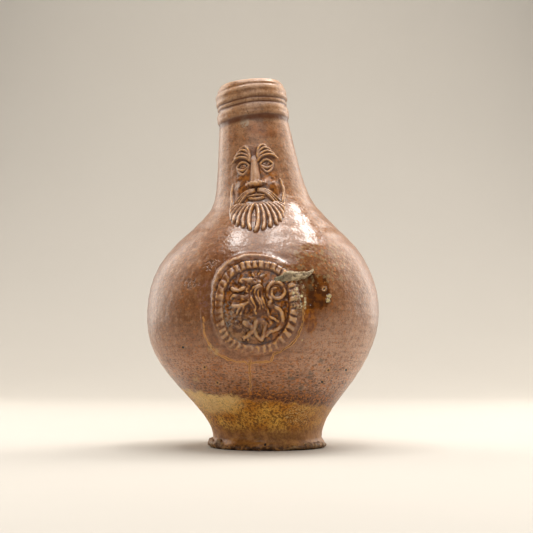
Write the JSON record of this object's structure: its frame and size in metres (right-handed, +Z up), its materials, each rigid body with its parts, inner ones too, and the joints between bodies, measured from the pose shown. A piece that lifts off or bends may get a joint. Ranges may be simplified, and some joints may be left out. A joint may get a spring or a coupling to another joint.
{
  "type": "bellarmine jug",
  "caption": "Salt-glazed stoneware jug with a narrow leaning neck, strap handle, moulded bearded mask and an oval lion medallion, for storing and pouring drinks.",
  "frame": {"origin": "middle of the flat foot that the jug stands on", "axes": "+Z up from the foot to the mouth, -Y the way the bearded mask and the medallion face, +Y the side of the handle"},
  "size_m": [0.1364, 0.139, 0.2154],
  "materials": {
    "brown_salt_glaze": "brown iron wash under a glossy orange-peel salt glaze",
    "kiln_clay": "torn and ashy"
  },
  "bodies": {
    "root": {"thrown_body": "brown_salt_glaze", "strap_handle": "brown_salt_glaze", "face_mask": "brown_salt_glaze", "belly_medallion": "brown_salt_glaze", "kiln_scar": "kiln_clay", "kiln_wad_left": "kiln_clay", "kiln_wad_right": "kiln_clay"}
  },
  "joints": []
}
